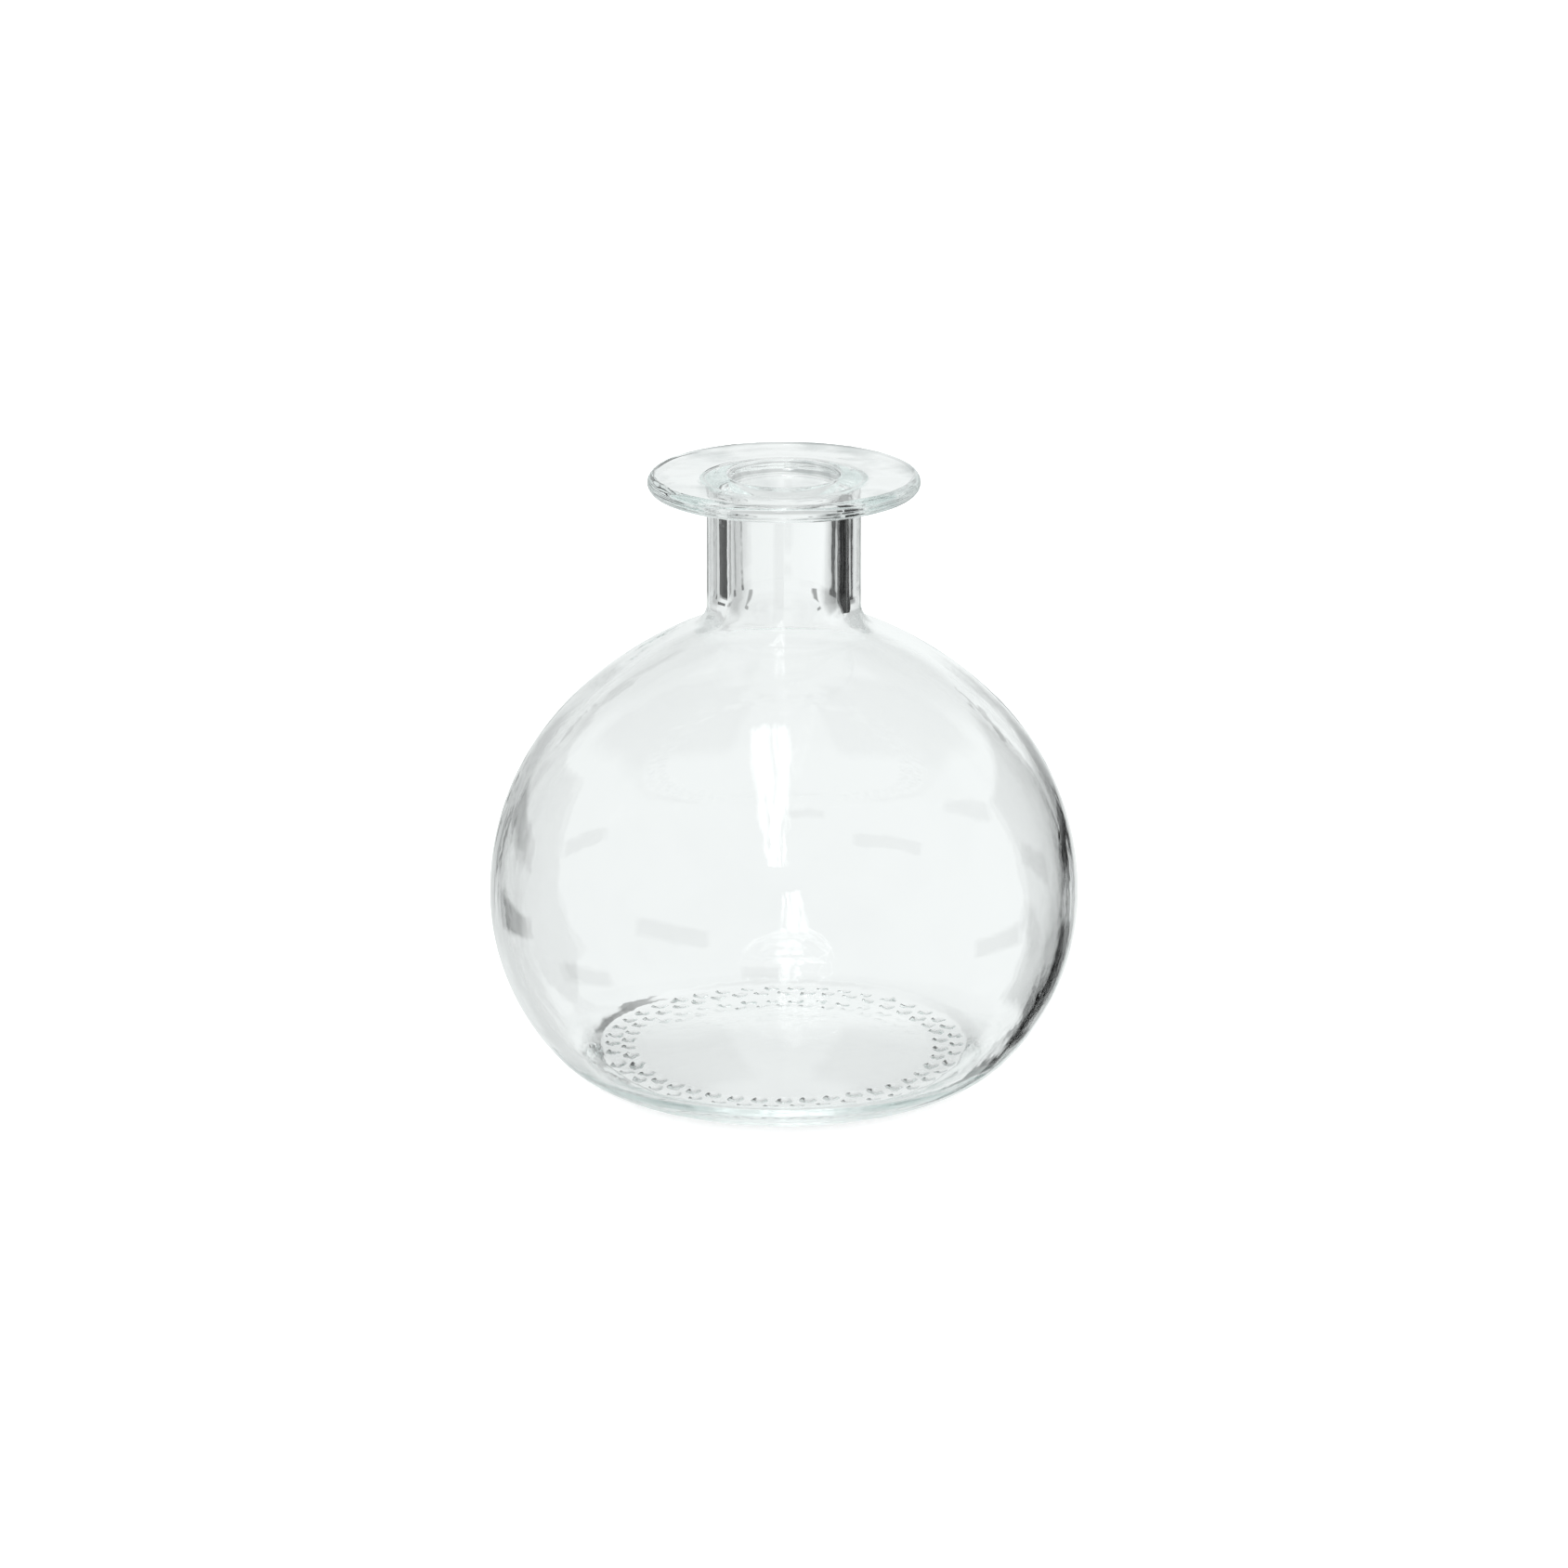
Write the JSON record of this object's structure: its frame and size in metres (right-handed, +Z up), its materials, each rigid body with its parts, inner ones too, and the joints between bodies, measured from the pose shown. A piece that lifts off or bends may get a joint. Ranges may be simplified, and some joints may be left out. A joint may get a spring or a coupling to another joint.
{
  "type": "glass bud vase",
  "caption": "Clear glass bud vase: flattened ball body, thick straight neck, wide flat rounded lip and a slightly pushed-up base with a knurled bearing ring.",
  "frame": {"origin": "centre of the knurled bearing ring under the base, on the surface the vase stands on", "axes": "+Z up along the axis of the vase, out of the mouth; it is a body of revolution, so +X and +Y are free, and +X passes through a bump of the outer knurl row"},
  "size_m": [0.1, 0.1, 0.105],
  "materials": {
    "clear_glass": "fire-polished, clear"
  },
  "bodies": {
    "root": {"glass_vase": "clear_glass"}
  },
  "joints": []
}
